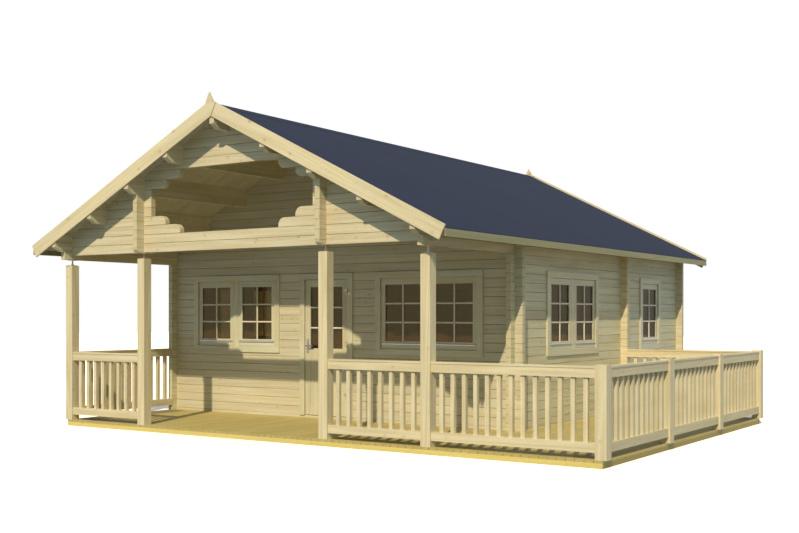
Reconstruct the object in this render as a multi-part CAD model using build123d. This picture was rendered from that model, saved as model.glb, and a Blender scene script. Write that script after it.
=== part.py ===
import os
from math import atan, cos, sin

from build123d import *

# Log cabin with a porch and a side deck, in millimetres. X runs across, Y from the porch to the
# rear, Z up from the ground. The origin is midway between the front and rear walls, under the ridge.

# Logs: the end walls' courses start at the ground, the side walls' half a course higher
log_thick = 70.0
log_end = 100.0
groove_width = 8.0
groove_depth = 4.0

# Plan, between the walls' centre lines
side_wall_x = 2793.0
front_room_depth = 3270.0
rear_room_depth = 2310.0
porch_depth = 1935.0
deck_rail_x = 4765.0

# Heights: the ridge's in millimetres, the others counted in courses of logs. The eaves' count
# runs to the underside of the roof boards over the side walls.
ridge_height = 3949.0
eaves_courses = 22.43
plate_courses = 19.5
gable_courses = 20
opening_courses = 22
window_sill_courses = 9.17
sash_courses = 8
door_courses = 16.13
inner_doorway_courses = 18

# Roof
roof_slope = 0.5
roof_board = 20.0
felt_thick = 6.0
eave_x = 3180.0
front_overhang = 310.0
rear_overhang = 355.0
purlin_width = 70.0
purlin_depth = 225.0
purlin_nose = 170.0
purlin_cut = 95.0
ridge_purlin_drop = 45.0
barge_thick = 20.0
barge_depth = 168.0
barge_rise = 28.0
finial_height = 92.0
finial_half_width = 63.0
finial_off_ridge = 22.0
finial_shoulder_width = 40.0
finial_shoulder_height = 20.0
fascia_height = 80.0
fascia_thick = 20.0

# Porch gable
porch_log_end = 125.0
step_length = 250.0
step_courses = 2
bracket_course = 27
step_round = 90.0

# Posts and their screw jacks
post_side = 120.0
inner_post_x = 1440.0
jack_gap = 75.0
jack_plate = 90.0
jack_plate_thick = 6.0
jack_rod_radius = 10.0
jack_nut_radius = 17.0
jack_nut_height = 18.0
jack_rod_sides = 8

# Floor and deck
bearer_width = 45.0
bearer_height = 50.0
bearer_pitch = 900.0
board_thick = 28.0
board_gap = 5.0
joist_pitch = 600.0
deck_inset = 38.0

# Balustrade
rail_post_height = 912.0
rail_thick = 78.0
top_rail_depth = 90.0
bottom_rail_depth = 92.0
bottom_rail_gap = 68.0
rail_cap_width = 90.0
rail_cap_thick = 20.0
rail_top = 954.0
side_bays = 3
baluster_width = 45.0
baluster_thick = 41.0
baluster_gap = 95.0

# Windows: outward opening sashes in a frame that is as deep as the logs
sash_width = 656.0
sash_depth = 45.0
sash_stile = 60.0
sash_top_rail = 78.0
sash_bottom_rail = 95.0
sash_lip = 15.0
sash_rebate = 10.0
sash_gap = 3.0
window_mullion = 104.0
window_stop = 14.0
frame_member = 42.0
casing_width = 80.0
casing_thick = 20.0
casing_reveal = 5.0
glass_thick = 16.0
side_window_y = 1605.0
rear_window_y = 1205.0

# Doorway and the door, which opens outwards on pins at its right side
door_width = 710.0
door_thick = 40.0
door_gap = 6.0
door_lock_bevel = 4.0
door_stile = 88.0
door_top_rail = 95.0
door_bottom_rail = 150.0
door_glass_height = 822.0
door_mid_rail = 170.0
door_panel_recess = 10.0
door_frame_member = 45.0
door_stop = 16.0
hinge_pin_radius = 5.0
hinge_knuckle_radius = 9.0
hinge_knuckle_length = 40.0
hinge_clear = 0.3
hinge_pin_short = 5.0
hinge_sides = 12
hinge_leaf_thick = 3.0
hinge_leaf_length = 55.0
hinge_from_foot = 270.0
hinge_from_top = 165.0
handle_height = 930.0
handle_plate_width = 36.0
handle_plate_height = 190.0
handle_plate_thick = 5.0
handle_neck_radius = 9.0
handle_reach = 45.0
handle_length = 115.0
inner_doorway_width = 800.0

# Places worked out from the sizes above
half_log = log_thick / 2
front_wall_y = -(front_room_depth + rear_room_depth) / 2
rear_wall_y = -front_wall_y
partition_y = front_wall_y + front_room_depth
gable_y = front_wall_y - porch_depth
roof_angle = atan(roof_slope)
roof_drop = roof_board / cos(roof_angle)
felt_drop = felt_thick / cos(roof_angle)
board_top = ridge_height - felt_drop
roof_under = board_top - roof_drop
log_pitch = (roof_under - roof_slope * side_wall_x) / eaves_courses
roof_front_y = gable_y - front_overhang
roof_rear_y = rear_wall_y + rear_overhang
plate_z = plate_courses * log_pitch
gable_z = gable_courses * log_pitch
purlin_pitch = (side_wall_x - inner_post_x) / 2
purlin_places = (-inner_post_x - purlin_pitch, -inner_post_x, purlin_pitch - inner_post_x, 0.0,
                 inner_post_x - purlin_pitch, inner_post_x, inner_post_x + purlin_pitch)
deck_z = bearer_height + board_thick
deck_front_y = gable_y - post_side / 2
deck_left_x = -(side_wall_x + post_side / 2 - deck_inset)
deck_right_x = deck_rail_x + post_side / 2 - deck_inset
deck_rear_y = partition_y + post_side / 2 - deck_inset
wall_face_x = side_wall_x + half_log
window_sill_z = window_sill_courses * log_pitch
sash_height = sash_courses * log_pitch
door_height = door_courses * log_pitch
frame_width = door_width + 2 * door_gap + 2 * door_frame_member
door_sill_z = log_pitch
door_foot_z = door_sill_z + door_gap
door_head_z = door_foot_z + door_height + door_gap
doorway_top = door_head_z + door_frame_member
door_casing_x = door_width / 2 + door_gap + casing_width
front_window_x = (door_casing_x + side_wall_x - half_log) / 2
hinge_x = (door_width + door_gap) / 2
hinge_y = front_wall_y - half_log - casing_thick - hinge_leaf_thick - hinge_knuckle_radius


def span(x0, x1, y0, y1, z0, z1):
    """A block between two corners."""
    middle = ((x0 + x1) / 2, (y0 + y1) / 2, (z0 + z1) / 2)
    return Pos(*middle) * Box(x1 - x0, y1 - y0, z1 - z0)


def roof_line(x, top=roof_under):
    """Height of a surface of the roof over a place on X, by its height at the ridge."""
    return top - roof_slope * abs(x)


def save(node, *solids):
    """Writes one named piece, or several like pieces that don't touch."""
    shape = solids[0] if len(solids) == 1 else Compound(children=list(solids))
    shape.label = node
    export_step(shape, os.path.join("parts", node + ".step"))


def log_profile(z0, z1, first_joint, outward):
    """Cross-section of a stack of logs, with a groove at each joint of the weather face."""
    face = half_log * outward
    outline = [(-face, z1), (-face, z0), (face, z0)]
    joint = first_joint
    while joint < z1 - groove_width:
        if joint > z0 + groove_width:
            outline += [(face, joint - groove_width / 2),
                        (face - outward * groove_depth, joint),
                        (face, joint + groove_width / 2)]
        joint += log_pitch
    return outline + [(face, z1)]


def end_wall_logs(x0, x1, y, z0, z1, outward=-1):
    """Logs that lie across, between two places on X. The grooves end at the side walls."""
    inner = side_wall_x - half_log
    low, high = max(x0, -inner), min(x1, inner)
    outline = make_face(Polyline(*log_profile(z0, z1, 0.0, outward), close=True))
    logs = Pos(low, y, 0) * extrude(Plane.YZ * outline, high - low)
    for a, b in ((x0, low), (high, x1)):
        if b > a:
            logs += span(a, b, y - half_log, y + half_log, z0, z1)
    return logs


def side_wall_logs(x, y0, y1, z0, z1, first_wall_y):
    """Logs that lie along Y, their joints half a course above the end walls'. The grooves run
    from the first end wall to the last."""
    outward = 1 if x > 0 else -1
    low = first_wall_y + half_log
    high = rear_wall_y - half_log
    outline = make_face(Polyline(*log_profile(z0, z1, log_pitch / 2, outward), close=True))
    logs = Pos(x, low, 0) * extrude(Plane.XZ * outline, -(high - low))
    for a, b in ((y0, low), (high, y1)):
        logs += span(x - half_log, x + half_log, a, b, z0, z1)
    return logs


def crossing_slots(x, y, z0, z1, half_course):
    """The half-height stretches of a crossing that the other wall's logs fill."""
    slots = []
    course = -1
    while (course + half_course) * log_pitch < z1:
        low = max(z0, (course + half_course + 0.25) * log_pitch)
        high = min(z1, (course + half_course + 0.75) * log_pitch)
        if high > low:
            slots.append(span(x - half_log, x + half_log, y - half_log, y + half_log, low, high))
        course += 1
    return slots


def side_log_slots(x, y, z0, z1):
    return crossing_slots(x, y, z0, z1, 0.5)


def end_log_slots(x, y, z0, z1):
    return crossing_slots(x, y, z0, z1, 0.0)


def gable_cut(y0, y1):
    """All that lies above the underside of the roof boards, between two places on Y."""
    reach = eave_x + log_end
    outline = Polyline((-reach, roof_line(reach)), (0, roof_under), (reach, roof_line(reach)),
                       (reach, ridge_height + log_pitch), (-reach, ridge_height + log_pitch),
                       close=True)
    return Pos(0, y0, 0) * extrude(Plane.XZ * make_face(outline), -(y1 - y0))


def purlin_low(x):
    """Height of a purlin's underside. The ridge purlin hangs lower than the others."""
    return roof_line(x) - purlin_depth - (ridge_purlin_drop if x == 0 else 0.0)


def purlin_profile(x):
    """Cross-section of a purlin: its top lies against the roof boards."""
    half = purlin_width / 2
    low = purlin_low(x)
    top = [(x + half, roof_line(x + half)), (x - half, roof_line(x - half))]
    if x == 0:
        top.insert(1, (0, roof_under))
    return make_face(Polyline((x - half, low), (x + half, low), *top, close=True))


def purlin(x):
    """A purlin from end to end of the roof, with both ends cut back underneath."""
    length = roof_rear_y - roof_front_y
    beam = Pos(0, roof_front_y, 0) * extrude(Plane.XZ * purlin_profile(x), -length)
    low = purlin_low(x)
    nose_z = low + purlin_depth - purlin_nose
    for end_y, inward in ((roof_front_y, 1), (roof_rear_y, -1)):
        wedge = Polyline((end_y, nose_z), (end_y, low), (end_y + inward * purlin_cut, low),
                         close=True)
        cut = extrude(Plane.YZ * make_face(wedge), purlin_width / 2, both=True)
        beam -= Pos(x, 0, 0) * cut
    return beam


def purlin_holes(y, places=purlin_places):
    """Pockets for the purlins where they pass a gable."""
    return [Pos(0, y - log_thick, 0) * extrude(Plane.XZ * purlin_profile(x), -2 * log_thick)
            for x in places]


def window_width(sashes):
    """Width of the frame's pockets and mullions, between the outer members."""
    return sashes * (sash_width + 2 * sash_gap) + (sashes - 1) * (window_mullion - 2 * sash_gap)


def sash_places(sashes):
    pitch = sash_width + window_mullion
    return [pitch * (i - (sashes - 1) / 2) for i in range(sashes)]


def window_hole(sashes):
    """The hole in the logs, about the window's centre, with the wall's outside towards -Y."""
    half = window_width(sashes) / 2 + frame_member
    low = window_sill_z - sash_gap - frame_member
    high = window_sill_z + sash_height + sash_gap + frame_member
    return span(-half, half, -log_thick, log_thick, low, high)


def casing(half_width, low, high):
    """A board frame on the weather face of the wall round a window."""
    y0, y1 = -half_log - casing_thick, -half_log
    outer = span(-half_width - casing_width, half_width + casing_width, y0, y1,
                 low - casing_width, high + casing_width)
    return outer - span(-half_width, half_width, y0, y1, low, high)


def window_frame(sashes):
    half = window_width(sashes) / 2
    low = window_sill_z - sash_gap
    high = window_sill_z + sash_height + sash_gap
    frame = span(-half - frame_member, half + frame_member, -half_log, half_log,
                 low - frame_member, high + frame_member)
    for x in sash_places(sashes):
        pocket = sash_width / 2 + sash_gap
        light = pocket - window_stop
        frame -= span(x - pocket, x + pocket, -half_log, sash_depth - half_log, low, high)
        frame -= span(x - light, x + light, -half_log, half_log,
                      low + window_stop, high - window_stop)
    return frame + casing(half + casing_reveal, low - casing_reveal, high + casing_reveal)


def sash(x):
    low = window_sill_z
    high = window_sill_z + sash_height
    half = sash_width / 2
    light = half - sash_stile
    glass_low = low + sash_bottom_rail
    glass_high = high - sash_top_rail
    back = sash_depth - half_log
    frame = span(x - half, x + half, -half_log, back, low, high)
    frame -= span(x - light, x + light, -half_log, back, glass_low, glass_high)
    frame -= span(x - light - sash_rebate, x + light + sash_rebate, sash_lip - half_log, back,
                  glass_low - sash_rebate, glass_high + sash_rebate)
    return frame


def sash_glass(x):
    half = sash_width / 2 - sash_stile + sash_rebate
    front = sash_lip - half_log
    return span(x - half, x + half, front, front + glass_thick,
                window_sill_z + sash_bottom_rail - sash_rebate,
                window_sill_z + sash_height - sash_top_rail + sash_rebate)


# Windows as (number of sashes, place), each place carrying a window from the front wall's outlook
front_windows = [(2, Pos(side * front_window_x, front_wall_y, 0)) for side in (-1, 1)]
right_windows = [(2, Pos(side_wall_x, front_wall_y + side_window_y, 0) * Rot(0, 0, 90)),
                 (1, Pos(side_wall_x, rear_wall_y - rear_window_y, 0) * Rot(0, 0, 90))]
left_windows = [(2, Pos(-side_wall_x, front_wall_y + side_window_y, 0) * Rot(0, 0, -90)),
                (1, Pos(-side_wall_x, rear_wall_y - rear_window_y, 0) * Rot(0, 0, -90))]


def make_floor():
    inside_x = side_wall_x - half_log - board_gap
    rooms = [(front_wall_y + half_log + board_gap, partition_y - half_log - board_gap),
             (partition_y + half_log + board_gap, rear_wall_y - half_log - board_gap)]
    bearers = []
    for y0, y1 in rooms:
        x = 0.0
        while x < inside_x:
            for side in {x, -x}:
                bearers.append(span(side - bearer_width / 2, side + bearer_width / 2,
                                    y0 - board_gap, y1 + board_gap, 0, bearer_height))
            x += bearer_pitch
    save("floor_bearers", *bearers)
    floor = span(-inside_x, inside_x, rooms[0][0], rooms[0][1], bearer_height, deck_z)
    floor += span(-inside_x, inside_x, rooms[1][0], rooms[1][1], bearer_height, deck_z)
    passage = inner_doorway_width / 2 - board_gap
    floor += span(-passage, passage, rooms[0][1], rooms[1][0], bearer_height, deck_z)
    save("floor_boards", floor)


def joist(x0, x1, y0, y1):
    return span(x0, x1, y0, y1, 0, bearer_height)


def make_deck():
    width = bearer_width
    strip_x = wall_face_x + log_end + board_gap
    porch_rear = front_wall_y - half_log - log_end - board_gap
    frame = joist(deck_left_x, deck_left_x + width, deck_front_y, porch_rear)
    frame += joist(deck_right_x - width, deck_right_x, deck_front_y, deck_rear_y)
    frame += joist(strip_x, strip_x + width, deck_front_y, deck_rear_y)
    porch_bays = round((porch_rear - width - deck_front_y) / joist_pitch)
    for i in range(porch_bays + 1):
        y = deck_front_y + (porch_rear - width - deck_front_y) * i / porch_bays
        frame += joist(deck_left_x, deck_right_x, y, y + width)
    strip_bays = round((deck_rear_y - porch_rear) / joist_pitch)
    for i in range(1, strip_bays + 1):
        y = porch_rear - width + (deck_rear_y - porch_rear) * i / strip_bays
        frame += joist(strip_x, deck_right_x, y, y + width)
    save("deck_joists", frame)

    wall_y = front_wall_y - half_log - board_gap
    deck = span(deck_left_x, deck_right_x, deck_front_y, wall_y, bearer_height, deck_z)
    deck += span(wall_face_x + board_gap, deck_right_x, wall_y, deck_rear_y, bearer_height, deck_z)
    reach = half_log + board_gap
    for x in (-side_wall_x, side_wall_x):
        deck -= span(x - reach, x + reach, wall_y - log_end, wall_y, bearer_height, deck_z)
    end_x = wall_face_x + log_end + board_gap
    for y in (front_wall_y, partition_y):
        deck -= span(wall_face_x, end_x, y - reach, y + reach, bearer_height, deck_z)
    save("deck_boards", deck)


def cut_crossings(wall, y, z0, z1):
    """Notches an end wall where both side walls' logs pass through it."""
    for x in (-side_wall_x, side_wall_x):
        wall -= side_log_slots(x, y, z0, z1)
    return wall


def fit_gable(wall, y, crossing_z):
    """Cuts an end wall to the underside of the roof boards, with pockets for the purlins. The
    side walls' logs cross it from a height on."""
    wall -= gable_cut(y - log_thick, y + log_thick)
    wall -= purlin_holes(y)
    return cut_crossings(wall, y, crossing_z, ridge_height)


def gable_wall(y, end_x, z0, outward=-1):
    return fit_gable(end_wall_logs(-end_x, end_x, y, z0, ridge_height, outward), y, z0)


def make_front_wall():
    y = front_wall_y
    end_x = wall_face_x + log_end
    save("front_sill_log", cut_crossings(end_wall_logs(-end_x, end_x, y, 0, door_sill_z),
                                         y, 0, door_sill_z))
    half_door = frame_width / 2
    top_course = gable_z
    for name, x0, x1, window in (("front_wall_left", -end_x, -half_door, front_windows[0]),
                                 ("front_wall_right", half_door, end_x, front_windows[1])):
        wall = end_wall_logs(x0, x1, y, door_sill_z, top_course)
        wall -= window[1] * window_hole(window[0])
        save(name, cut_crossings(wall, y, door_sill_z, top_course))
    over = gable_wall(y, end_x, top_course)
    over += end_wall_logs(-half_door, half_door, y, doorway_top, top_course)
    save("front_wall_gable", over)


def make_partition():
    """The partition's logs run right through the side walls, and the plate logs cross it."""
    y = partition_y
    end_x = wall_face_x + log_end
    y0, y1 = y - half_log, y + half_log
    half_door = inner_doorway_width / 2
    top = inner_doorway_courses * log_pitch
    for name, x0, x1 in (("partition_left", -end_x, -half_door),
                         ("partition_right", half_door, end_x)):
        save(name, span(x0, x1, y0, y1, 0, top))
    gable = span(-end_x, end_x, y0, y1, top, ridge_height)
    save("partition_gable", fit_gable(gable, y, plate_z))


def make_rear_wall():
    end_x = wall_face_x + log_end
    save("rear_wall", gable_wall(rear_wall_y, end_x, 0, outward=1))


def make_side_walls():
    y0 = front_wall_y - half_log - log_end
    y1 = rear_wall_y + half_log + log_end
    for name, x, windows in (("left_wall", -side_wall_x, left_windows),
                             ("right_wall", side_wall_x, right_windows)):
        wall = side_wall_logs(x, y0, y1, 0, plate_z, front_wall_y)
        for sashes, place in windows:
            wall -= place * window_hole(sashes)
        for y in (front_wall_y, rear_wall_y):
            wall -= end_log_slots(x, y, 0, plate_z)
        wall -= span(x - half_log, x + half_log, partition_y - half_log, partition_y + half_log,
                     0, plate_z)
        save(name, wall)
    front = gable_y - half_log - porch_log_end
    for name, x in (("left_plate_logs", -side_wall_x), ("right_plate_logs", side_wall_x)):
        plate = side_wall_logs(x, front, y1, plate_z, ridge_height, gable_y)
        plate -= gable_cut(front, y1)
        for y in (front_wall_y, partition_y, rear_wall_y):
            plate -= end_log_slots(x, y, plate_z, ridge_height)
        plate -= end_log_slots(x, gable_y, gable_z, ridge_height)
        outside = purlin(x) - span(x - log_thick, x + log_thick, front, y1, plate_z, ridge_height)
        save(name, plate + outside)


def make_porch_gable():
    end_x = wall_face_x + log_end
    wall = gable_wall(gable_y, end_x, gable_z)
    side = inner_post_x - half_log - porch_log_end
    opening = []
    for course in range(opening_courses, bracket_course + step_courses):
        from_bottom = course - opening_courses
        from_top = bracket_course + step_courses - 1 - course
        inset = step_length * max(0, step_courses - from_bottom, step_courses - from_top)
        opening.append(gap_course(course, side - inset, from_bottom < step_courses,
                                  from_top < step_courses))
    wall -= opening
    for x in (-inner_post_x, inner_post_x):
        wall -= side_log_slots(x, gable_y, gable_z, purlin_low(x))
    save("porch_gable", wall)

    stacks = []
    for x in (-inner_post_x, inner_post_x):
        y0 = gable_y - half_log - porch_log_end
        y1 = gable_y + half_log + porch_log_end
        stack = span(x - half_log, x + half_log, y0, y1, gable_z, purlin_low(x))
        stack -= end_log_slots(x, gable_y, gable_z, roof_line(x))
        stack -= rounded_foot(x, y0)
        stacks.append(stack)
    save("gable_cross_logs", *stacks)


def gap_course(course, half, is_step, is_bracket):
    """One course of the opening, rounded where the ends of the logs beside it are."""
    low = course * log_pitch
    high = low + log_pitch
    outline = [(-half, low), (half, low), (half, high), (-half, high)]
    gap = extrude(Plane.XZ * make_face(Polyline(*outline, close=True)), log_thick, both=True)
    gap = Pos(0, gable_y, 0) * gap
    if is_step:
        gap += [rounded_end(side * half, high, side, -1) for side in (-1, 1)]
    if is_bracket:
        gap += [rounded_end(side * half, low, side, 1) for side in (-1, 1)]
    return gap


def rounded_end(x, z, outward, inward_z):
    """What a quarter round takes off the free corner of a log's end."""
    r = step_round
    corner = Pos(x + outward * r / 2, gable_y, z + inward_z * r / 2) * Box(r, 2 * log_thick, r)
    round_off = Pos(x + outward * r, gable_y, z + inward_z * r) * Rot(90, 0, 0) * Cylinder(
        r, 2 * log_thick)
    return corner - round_off


def rounded_foot(x, y0):
    """What a quarter round takes off the lowest cross log's front end."""
    r = log_pitch / 2
    corner = Pos(x, y0 + r / 2, gable_z + r / 2) * Box(log_thick, r, r)
    return corner - Pos(x, y0 + r, gable_z + r) * Rot(0, 90, 0) * Cylinder(r, log_thick)


def rod(radius, z0, z1, sides=hinge_sides):
    """A small upright round bar, of few sides because the model has many of them."""
    return Pos(0, 0, z0) * extrude(RegularPolygon(radius, sides), z1 - z0)


def jack(x, z0, z1):
    """A screw jack between a post and the log that it carries."""
    plate = Box(jack_plate, jack_plate, jack_plate_thick)
    nut_base = Pos(0, 0, z0 + jack_plate_thick)
    nut = nut_base * extrude(RegularPolygon(jack_nut_radius, 6), jack_nut_height)
    lower = Pos(0, 0, z0 + jack_plate_thick / 2) * plate
    upper = Pos(0, 0, z1 - jack_plate_thick / 2) * plate
    screw = rod(jack_rod_radius, z0, z1, jack_rod_sides)
    return Pos(x, gable_y, 0) * (screw + nut + lower + upper)


def post(x, y, z1):
    half = post_side / 2
    return span(x - half, x + half, y - half, y + half, deck_z, z1)


def make_posts():
    carried = {-side_wall_x: plate_z, -inner_post_x: gable_z,
               inner_post_x: gable_z, side_wall_x: plate_z}
    save("porch_posts", *[post(x, gable_y, z - jack_gap) for x, z in carried.items()])
    save("post_jacks", *[jack(x, z - jack_gap, z) for x, z in carried.items()])


def rail_post_rows():
    """Places on Y of the posts along the deck's right edge."""
    return [gable_y + (partition_y - gable_y) * i / side_bays for i in range(side_bays + 1)]


def balustrade(x0, x1):
    """A bay of balustrade along X from one place to another, about Y = 0."""
    half = rail_thick / 2
    cap_half = rail_cap_width / 2
    foot = deck_z + bottom_rail_gap
    bay = span(x0, x1, -half, half, rail_top - top_rail_depth, rail_top)
    bay += span(x0, x1, -cap_half, cap_half, rail_top, rail_top + rail_cap_thick)
    bay += span(x0, x1, -half, half, foot, foot + bottom_rail_depth)
    count = round((x1 - x0 - baluster_gap) / (baluster_width + baluster_gap))
    gap = (x1 - x0 - count * baluster_width) / (count + 1)
    for i in range(count):
        low_x = x0 + gap + i * (gap + baluster_width)
        bay += span(low_x, low_x + baluster_width, -baluster_thick / 2, baluster_thick / 2,
                    foot + bottom_rail_depth, rail_top - top_rail_depth)
    return bay


def make_balustrade():
    half = post_side / 2
    rows = rail_post_rows()
    top = deck_z + rail_post_height
    save("railing_posts", *[post(deck_rail_x, y, top) for y in rows])
    along_front = Pos(0, gable_y, 0)
    for name, x0, x1 in (("railing_front_left", -side_wall_x, -inner_post_x),
                         ("railing_front_right", inner_post_x, side_wall_x),
                         ("railing_front_corner", side_wall_x, deck_rail_x)):
        save(name, along_front * balustrade(x0 + half, x1 - half))
    turn = Rot(0, 0, 90)
    bays = [Pos(deck_rail_x, 0, 0) * turn * balustrade(a + half, b - half)
            for a, b in zip(rows, rows[1:])]
    save("railing_side_bays", *bays)
    rear = balustrade(wall_face_x + log_end, deck_rail_x - half)
    save("railing_rear", Pos(0, partition_y, 0) * rear)
    left = balustrade(gable_y + half, front_wall_y - half_log - log_end)
    save("railing_left", Pos(-side_wall_x, 0, 0) * turn * left)


def slope_layer(side, top, thick, x1):
    """Cross-section of one side of the roof, by its top's height at the ridge."""
    drop = thick / cos(roof_angle)
    return Polyline((0, top), (side * x1, roof_line(x1, top)),
                    (side * x1, roof_line(x1, top - drop)), (0, top - drop), close=True)


def make_roof():
    save("purlins", *[purlin(x) for x in purlin_places])
    length = roof_rear_y - roof_front_y
    for name, side in (("roof_boards_left", -1), ("roof_boards_right", 1)):
        section = make_face(slope_layer(side, board_top, roof_board, eave_x))
        save(name, Pos(0, roof_front_y, 0) * extrude(Plane.XZ * section, -length))
    felt_x = eave_x + fascia_thick
    outline = Polyline((-felt_x, roof_line(felt_x, board_top)), (0, board_top),
                       (felt_x, roof_line(felt_x, board_top)),
                       (felt_x, roof_line(felt_x, ridge_height)), (0, ridge_height),
                       (-felt_x, roof_line(felt_x, ridge_height)), close=True)
    felt = Pos(0, roof_front_y, 0) * extrude(Plane.XZ * make_face(outline), -length)
    save("roof_felt", felt)
    fascias = []
    for side in (-1, 1):
        x0, x1 = eave_x, eave_x + fascia_thick
        outline = Polyline((side * x0, roof_line(x0, board_top)),
                           (side * x1, roof_line(x1, board_top)),
                           (side * x1, roof_line(x1, board_top) - fascia_height),
                           (side * x0, roof_line(x1, board_top) - fascia_height), close=True)
        fascia = extrude(Plane.XZ * make_face(outline), -length)
        fascias.append(Pos(0, roof_front_y, 0) * fascia)
    save("eave_fascias", *fascias)


def barge_outlines():
    """Outlines of the left barge board, which carries the finial, and of the right one."""
    crown = ridge_height + barge_rise / cos(roof_angle)
    inner = crown - barge_depth / cos(roof_angle)
    square = (-sin(roof_angle) * barge_depth, -cos(roof_angle) * barge_depth)
    top_x = eave_x + fascia_thick
    low_top = (top_x, roof_line(top_x, crown))
    low_bottom = (top_x + square[0], low_top[1] + square[1])
    joint_top = (-square[0], inner - square[1])
    right = Polyline((0, inner), joint_top, low_top, low_bottom, close=True)
    tip = (-finial_off_ridge, crown + finial_height)
    feet = [side * finial_half_width - finial_off_ridge for side in (-1, 1)]
    feet = [(x, roof_line(x, crown)) for x in feet]
    shoulders = [(side * finial_shoulder_width - finial_off_ridge, crown + finial_shoulder_height)
                 for side in (-1, 1)]
    left = Curve() + [
        Line((0, inner), (-low_bottom[0], low_bottom[1])),
        Line((-low_bottom[0], low_bottom[1]), (-low_top[0], low_top[1])),
        Line((-low_top[0], low_top[1]), feet[0]),
        Bezier(feet[0], shoulders[0], tip),
        Bezier(tip, shoulders[1], feet[1]),
        Line(feet[1], joint_top),
        Line(joint_top, (0, inner)),
    ]
    return make_face(left), make_face(right)


def make_barge_boards():
    outlines = barge_outlines()
    for name, outline in zip(("left_barge_boards", "right_barge_boards"), outlines):
        board = extrude(Plane.XZ * outline, barge_thick)
        front = Pos(0, roof_front_y, 0) * board
        rear = Pos(0, roof_rear_y + barge_thick, 0) * board
        save(name, front, rear)


def make_windows():
    front_frames = [place * window_frame(sashes) for sashes, place in front_windows]
    front_sashes = [place * sash(x) for sashes, place in front_windows
                    for x in sash_places(sashes)]
    save("front_window_frames", *front_frames)
    save("front_window_sashes", *front_sashes)
    side_windows = left_windows + right_windows
    save("side_window_frames", *[place * window_frame(sashes) for sashes, place in side_windows])
    save("side_window_sashes", *[place * sash(x) for sashes, place in side_windows
                                 for x in sash_places(sashes)])
    save("window_glass", *[place * sash_glass(x) for sashes, place in front_windows + side_windows
                           for x in sash_places(sashes)])


def make_door_frame():
    half = door_width / 2 + door_gap
    leaf_back = door_thick + door_gap - half_log
    frame = span(-frame_width / 2, frame_width / 2, -half_log, half_log, door_sill_z, doorway_top)
    frame -= span(-half, half, -half_log, leaf_back, door_sill_z, door_head_z)
    frame -= span(door_stop - half, half - door_stop, -half_log, half_log,
                  door_sill_z, door_head_z - door_stop)
    for face, outward in ((-half_log, -1), (half_log, 1)):
        y0, y1 = sorted((face, face + outward * casing_thick))
        board = span(-door_casing_x, door_casing_x, y0, y1,
                     door_sill_z, door_head_z + casing_width)
        frame += board - span(-half, half, y0, y1, door_sill_z, door_head_z)
    save("door_frame", Pos(0, front_wall_y, 0) * frame)


def make_door():
    half = door_width / 2
    top = door_foot_z + door_height
    back = door_thick - half_log
    light = half - door_stile
    glass_high = top - door_top_rail
    glass_low = glass_high - door_glass_height
    panel_high = glass_low - door_mid_rail
    panel_low = door_foot_z + door_bottom_rail
    leaf = span(-half, half, -half_log, back, door_foot_z, top)
    leaf -= span(-light, light, -half_log, back, glass_low, glass_high)
    leaf -= span(-light - sash_rebate, light + sash_rebate, sash_lip - half_log, back,
                 glass_low - sash_rebate, glass_high + sash_rebate)
    for y0, y1 in ((-half_log, door_panel_recess - half_log), (back - door_panel_recess, back)):
        leaf -= span(-light, light, y0, y1, panel_low, panel_high)
    bevel = Polyline((-half, -half_log), (-half, back), (door_lock_bevel - half, back), close=True)
    leaf -= Pos(0, 0, door_foot_z) * extrude(make_face(bevel), door_height)
    at_door = Pos(0, front_wall_y, 0)
    save("door_leaf", at_door * leaf)
    pane_front = sash_lip - half_log
    save("door_glass", at_door * span(-light - sash_rebate, light + sash_rebate,
                                      pane_front, pane_front + glass_thick,
                                      glass_low - sash_rebate, glass_high + sash_rebate))


def make_hinges():
    """Lift-off hinges: the frame's half has the pin, the door's half the sleeve that drops on it."""
    pins = []
    sleeves = []
    r = hinge_knuckle_radius
    thick = hinge_leaf_thick
    length = hinge_knuckle_length
    casing_face = r + thick
    door_face = casing_face + casing_thick
    low_hinge = hinge_from_foot
    high_hinge = door_height - hinge_from_top
    for height in (low_hinge, (low_hinge + high_hinge) / 2, high_hinge):
        at = Pos(hinge_x, hinge_y, door_foot_z + height)
        pin = rod(r, -length, 0) + rod(hinge_pin_radius, 0, length - hinge_pin_short)
        pin += span(r - thick, r, 0, casing_face, -length, 0)
        pin += span(r - thick, r + hinge_leaf_length, r, casing_face, -length, 0)
        pins.append(at * pin)
        low = hinge_clear
        high = hinge_clear + length
        sleeve = rod(r, low, high)
        sleeve += span(-r, thick - r, 0, door_face, low, high)
        sleeve += span(-r - hinge_leaf_length, thick - r, door_face - thick, door_face, low, high)
        sleeve -= rod(hinge_pin_radius + hinge_clear, low, high)
        sleeves.append(at * sleeve)
    save("frame_hinge_pins", *pins)
    save("door_hinges", *sleeves)


def make_handle():
    """A plate, neck and lever on each face of the leaf."""
    x = -(door_width / 2 - door_stile / 2)
    z = door_foot_z + handle_height
    half_w = handle_plate_width / 2
    half_h = handle_plate_height / 2
    parts = []
    for face, outward in ((front_wall_y - half_log, -1),
                          (front_wall_y - half_log + door_thick, 1)):
        y0, y1 = sorted((face, face + outward * handle_plate_thick))
        plate = span(x - half_w, x + half_w, y0, y1, z - half_h, z + half_h)
        neck = Pos(x, face, z) * Rot(-90 * outward, 0, 0) * rod(
            handle_neck_radius, 0, handle_reach)
        lever = Pos(x, face + outward * handle_reach, z) * Rot(0, 90, 0) * rod(
            handle_neck_radius, -handle_neck_radius, handle_length)
        parts.append(plate + neck + lever)
    save("door_handle", *parts)


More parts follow.
